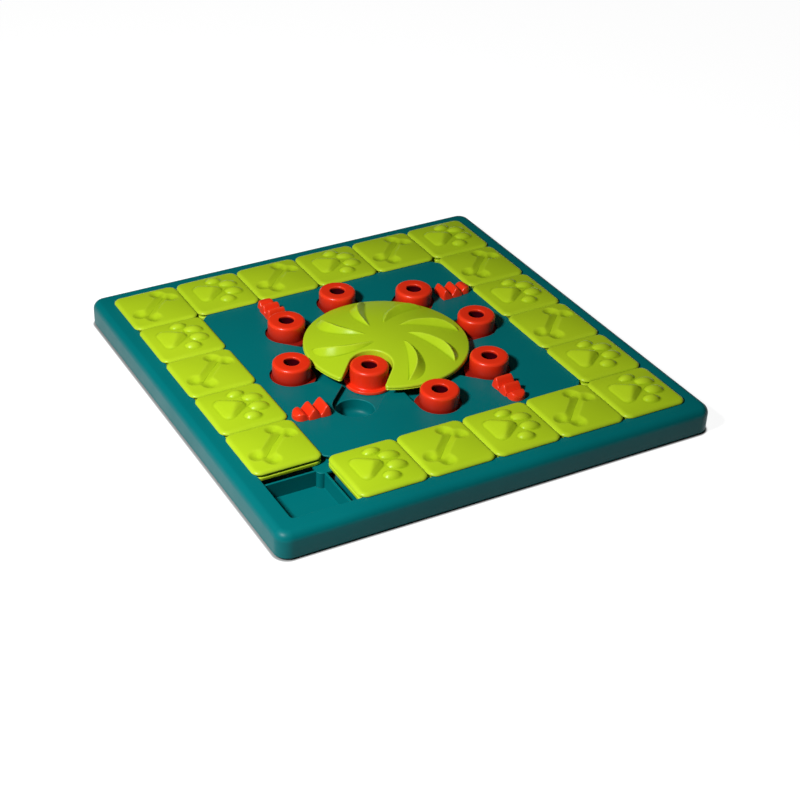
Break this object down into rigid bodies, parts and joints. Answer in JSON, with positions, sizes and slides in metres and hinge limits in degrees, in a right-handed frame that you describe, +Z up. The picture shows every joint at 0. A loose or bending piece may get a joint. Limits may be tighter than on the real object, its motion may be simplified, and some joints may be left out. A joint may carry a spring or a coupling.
{
  "type": "pet treat puzzle board",
  "caption": "Square puzzle board that hides treats: tiles slide round a channel over pockets, round knobs slide off bowls round a notched wheel, and latches lock the tiles.",
  "frame": {"origin": "on the ground under the middle of the board", "axes": "+Z up, the front of the board faces -Y, +X to the right; the empty place is at the front left corner"},
  "size_m": [0.404, 0.404, 0.0437],
  "materials": {
    "teal_plastic": "satin",
    "lime_plastic": "satin",
    "red_plastic": "satin",
    "foot_rubber": "matte",
    "screw_steel": "satin"
  },
  "bodies": {
    "board": {"outer_frame": "teal_plastic", "centre_deck": "teal_plastic", "track_tray": "teal_plastic", "centre_tray": "teal_plastic", "rubber_feet": "foot_rubber", "case_screws": "screw_steel"},
    "wheel": {"swirl_wheel": "lime_plastic", "axle_washer": "screw_steel", "axle_screw": "screw_steel"},
    "knob_1": {"knob_1": "red_plastic"},
    "knob_2": {"knob_2": "red_plastic"},
    "knob_3": {"knob_3": "red_plastic"},
    "knob_4": {"knob_4": "red_plastic"},
    "knob_5": {"knob_5": "red_plastic"},
    "knob_6": {"knob_6": "red_plastic"},
    "knob_7": {"knob_7": "red_plastic"},
    "knob_8": {"knob_8": "red_plastic"},
    "latch_1": {"latch_1": "red_plastic"},
    "latch_2": {"latch_2": "red_plastic"},
    "latch_3": {"latch_3": "red_plastic"},
    "latch_4": {"latch_4": "red_plastic"},
    "tile_01": {"tile_cap_01": "lime_plastic", "tile_base_01": "lime_plastic"},
    "tile_02": {"tile_cap_02": "lime_plastic", "tile_base_02": "lime_plastic"},
    "tile_03": {"tile_cap_03": "lime_plastic", "tile_base_03": "lime_plastic"},
    "tile_04": {"tile_cap_04": "lime_plastic", "tile_base_04": "lime_plastic"},
    "tile_05": {"tile_cap_05": "lime_plastic", "tile_base_05": "lime_plastic"},
    "tile_06": {"tile_cap_06": "lime_plastic", "tile_base_06": "lime_plastic"},
    "tile_07": {"tile_cap_07": "lime_plastic", "tile_base_07": "lime_plastic"},
    "tile_08": {"tile_cap_08": "lime_plastic", "tile_base_08": "lime_plastic"},
    "tile_09": {"tile_cap_09": "lime_plastic", "tile_base_09": "lime_plastic"},
    "tile_10": {"tile_cap_10": "lime_plastic", "tile_base_10": "lime_plastic"},
    "tile_11": {"tile_cap_11": "lime_plastic", "tile_base_11": "lime_plastic"},
    "tile_12": {"tile_cap_12": "lime_plastic", "tile_base_12": "lime_plastic"},
    "tile_13": {"tile_cap_13": "lime_plastic", "tile_base_13": "lime_plastic"},
    "tile_14": {"tile_cap_14": "lime_plastic", "tile_base_14": "lime_plastic"},
    "tile_15": {"tile_cap_15": "lime_plastic", "tile_base_15": "lime_plastic"},
    "tile_16": {"tile_cap_16": "lime_plastic", "tile_base_16": "lime_plastic"},
    "tile_17": {"tile_cap_17": "lime_plastic", "tile_base_17": "lime_plastic"},
    "tile_18": {"tile_cap_18": "lime_plastic", "tile_base_18": "lime_plastic"},
    "tile_19": {"tile_cap_19": "lime_plastic", "tile_base_19": "lime_plastic"}
  },
  "joints": [
    {"name": "wheel_turn", "type": "hinge", "parent": "board", "child": "wheel", "pos_m": [0, 0, 0.026], "axis": [0, 0, 1], "range_deg": [-360, 0]},
    {"name": "knob_1_slide", "type": "slide", "parent": "board", "child": "knob_1", "axis": [-1, 0, 0], "range_m": [-0.0019, 0.0018]},
    {"name": "knob_2_slide", "type": "slide", "parent": "board", "child": "knob_2", "axis": [-0.7071, -0.7071, 0], "range_m": [-0.0019, 0.0018]},
    {"name": "knob_3_slide", "type": "slide", "parent": "board", "child": "knob_3", "axis": [0, -1, 0], "range_m": [-0.0019, 0.0018]},
    {"name": "knob_4_slide", "type": "slide", "parent": "board", "child": "knob_4", "axis": [0.7071, -0.7071, 0], "range_m": [-0.0019, 0.0018]},
    {"name": "knob_5_slide", "type": "slide", "parent": "board", "child": "knob_5", "axis": [1, 0, 0], "range_m": [-0.0019, 0.0018]},
    {"name": "knob_6_slide", "type": "slide", "parent": "wheel", "child": "knob_6", "axis": [-0.7071, -0.7071, 0], "range_m": [0, 0.0464]},
    {"name": "knob_7_slide", "type": "slide", "parent": "board", "child": "knob_7", "axis": [0, 1, 0], "range_m": [-0.0019, 0.0018]},
    {"name": "knob_8_slide", "type": "slide", "parent": "board", "child": "knob_8", "axis": [-0.7071, 0.7071, 0], "range_m": [-0.0019, 0.0018]},
    {"name": "latch_1_slide", "type": "slide", "parent": "board", "child": "latch_1", "axis": [0, 1, 0], "range_m": [0, 0.0036]},
    {"name": "latch_2_slide", "type": "slide", "parent": "board", "child": "latch_2", "axis": [1, 0, 0], "range_m": [0, 0.0036]},
    {"name": "latch_3_slide", "type": "slide", "parent": "board", "child": "latch_3", "axis": [0, -1, 0], "range_m": [0, 0.0036]},
    {"name": "latch_4_slide", "type": "slide", "parent": "board", "child": "latch_4", "axis": [-1, 0, 0], "range_m": [0, 0.0036]},
    {"name": "tile_01_slide", "type": "slide", "parent": "board", "child": "tile_01", "axis": [1, 0, 0], "range_m": [-0.062, 0]},
    {"name": "tile_02_slide", "type": "slide", "parent": "board", "child": "tile_02", "axis": [1, 0, 0], "range_m": [-0.062, 0]},
    {"name": "tile_03_slide", "type": "slide", "parent": "board", "child": "tile_03", "axis": [1, 0, 0], "range_m": [-0.062, 0]},
    {"name": "tile_04_slide", "type": "slide", "parent": "board", "child": "tile_04", "axis": [1, 0, 0], "range_m": [-0.062, 0]},
    {"name": "tile_05_slide", "type": "slide", "parent": "board", "child": "tile_05", "axis": [1, 0, 0], "range_m": [-0.062, 0]},
    {"name": "tile_06_slide", "type": "slide", "parent": "board", "child": "tile_06", "axis": [0, 1, 0], "range_m": [-0.0003, 0.0003]},
    {"name": "tile_07_slide", "type": "slide", "parent": "board", "child": "tile_07", "axis": [0, 1, 0], "range_m": [-0.0003, 0.0003]},
    {"name": "tile_08_slide", "type": "slide", "parent": "board", "child": "tile_08", "axis": [0, 1, 0], "range_m": [-0.0003, 0.0003]},
    {"name": "tile_09_slide", "type": "slide", "parent": "board", "child": "tile_09", "axis": [0, 1, 0], "range_m": [-0.0003, 0.0003]},
    {"name": "tile_10_slide", "type": "slide", "parent": "board", "child": "tile_10", "axis": [0, 1, 0], "range_m": [-0.0003, 0.0003]},
    {"name": "tile_11_slide", "type": "slide", "parent": "board", "child": "tile_11", "axis": [-1, 0, 0], "range_m": [-0.0003, 0.0003]},
    {"name": "tile_12_slide", "type": "slide", "parent": "board", "child": "tile_12", "axis": [-1, 0, 0], "range_m": [-0.0003, 0.0003]},
    {"name": "tile_13_slide", "type": "slide", "parent": "board", "child": "tile_13", "axis": [-1, 0, 0], "range_m": [-0.0003, 0.0003]},
    {"name": "tile_14_slide", "type": "slide", "parent": "board", "child": "tile_14", "axis": [-1, 0, 0], "range_m": [-0.0003, 0.0003]},
    {"name": "tile_15_slide", "type": "slide", "parent": "board", "child": "tile_15", "axis": [0, -1, 0], "range_m": [0, 0.062]},
    {"name": "tile_16_slide", "type": "slide", "parent": "board", "child": "tile_16", "axis": [0, -1, 0], "range_m": [0, 0.062]},
    {"name": "tile_17_slide", "type": "slide", "parent": "board", "child": "tile_17", "axis": [0, -1, 0], "range_m": [0, 0.062]},
    {"name": "tile_18_slide", "type": "slide", "parent": "board", "child": "tile_18", "axis": [0, -1, 0], "range_m": [0, 0.062]},
    {"name": "tile_19_slide", "type": "slide", "parent": "board", "child": "tile_19", "axis": [0, -1, 0], "range_m": [0, 0.062]}
  ],
  "couplings": [
    {"joint": "tile_02_slide", "follows": "tile_01_slide", "ratio": 1},
    {"joint": "tile_03_slide", "follows": "tile_01_slide", "ratio": 1},
    {"joint": "tile_04_slide", "follows": "tile_01_slide", "ratio": 1},
    {"joint": "tile_05_slide", "follows": "tile_01_slide", "ratio": 1},
    {"joint": "tile_15_slide", "follows": "tile_19_slide", "ratio": 1},
    {"joint": "tile_16_slide", "follows": "tile_19_slide", "ratio": 1},
    {"joint": "tile_17_slide", "follows": "tile_19_slide", "ratio": 1},
    {"joint": "tile_18_slide", "follows": "tile_19_slide", "ratio": 1}
  ]
}
